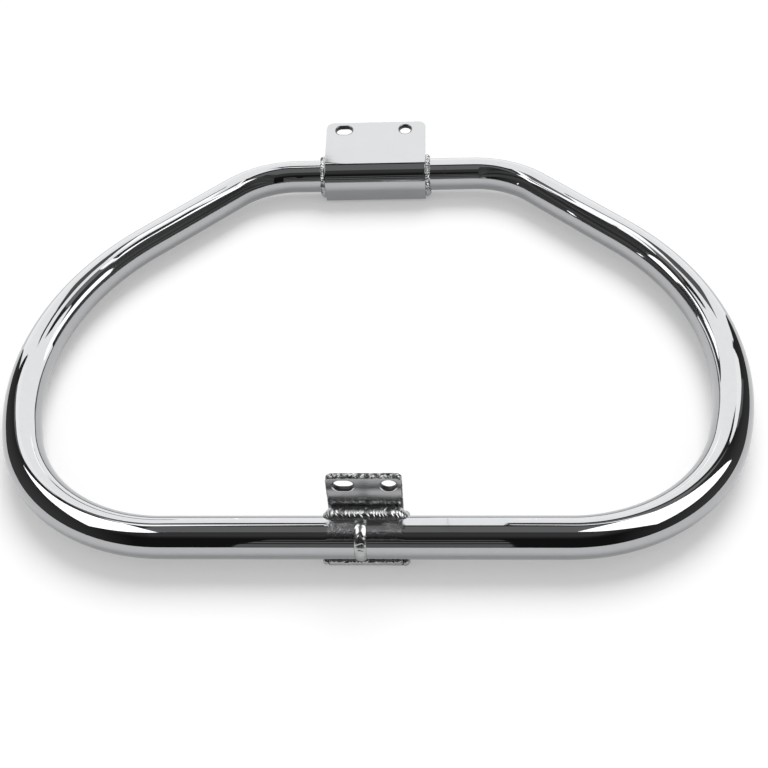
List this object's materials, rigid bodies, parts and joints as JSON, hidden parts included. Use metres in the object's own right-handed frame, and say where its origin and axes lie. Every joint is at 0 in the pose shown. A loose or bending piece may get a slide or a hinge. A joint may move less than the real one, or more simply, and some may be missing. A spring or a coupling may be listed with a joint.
{
  "type": "motorcycle crash bar",
  "caption": "Chromed bent-tube loop that guards a motorcycle's engine, with a slotted tab above and a slotted plate below that bolt it to the frame.",
  "frame": {"origin": "middle of the part's box on X and Y, at the height of its lowest point", "axes": "+X across the motorcycle, +Y from the lower bar to the upper bar, +Z the way the lower plate stands up from the loop"},
  "size_m": [0.6162, 0.519, 0.0694],
  "materials": {
    "chrome": "polished chrome plate on steel",
    "weld_chrome": "chrome plate over rippled weld beads"
  },
  "bodies": {
    "root": {"tube": "chrome", "seam_weld": "weld_chrome", "upper_bracket": "chrome", "lower_bracket": "chrome", "upper_left_weld": "weld_chrome", "upper_right_weld": "weld_chrome", "upper_notch_weld": "weld_chrome", "upper_edge_weld": "weld_chrome", "lower_left_weld": "weld_chrome", "lower_right_weld": "weld_chrome", "lower_notch_weld": "weld_chrome", "lower_edge_weld": "weld_chrome"}
  },
  "joints": []
}
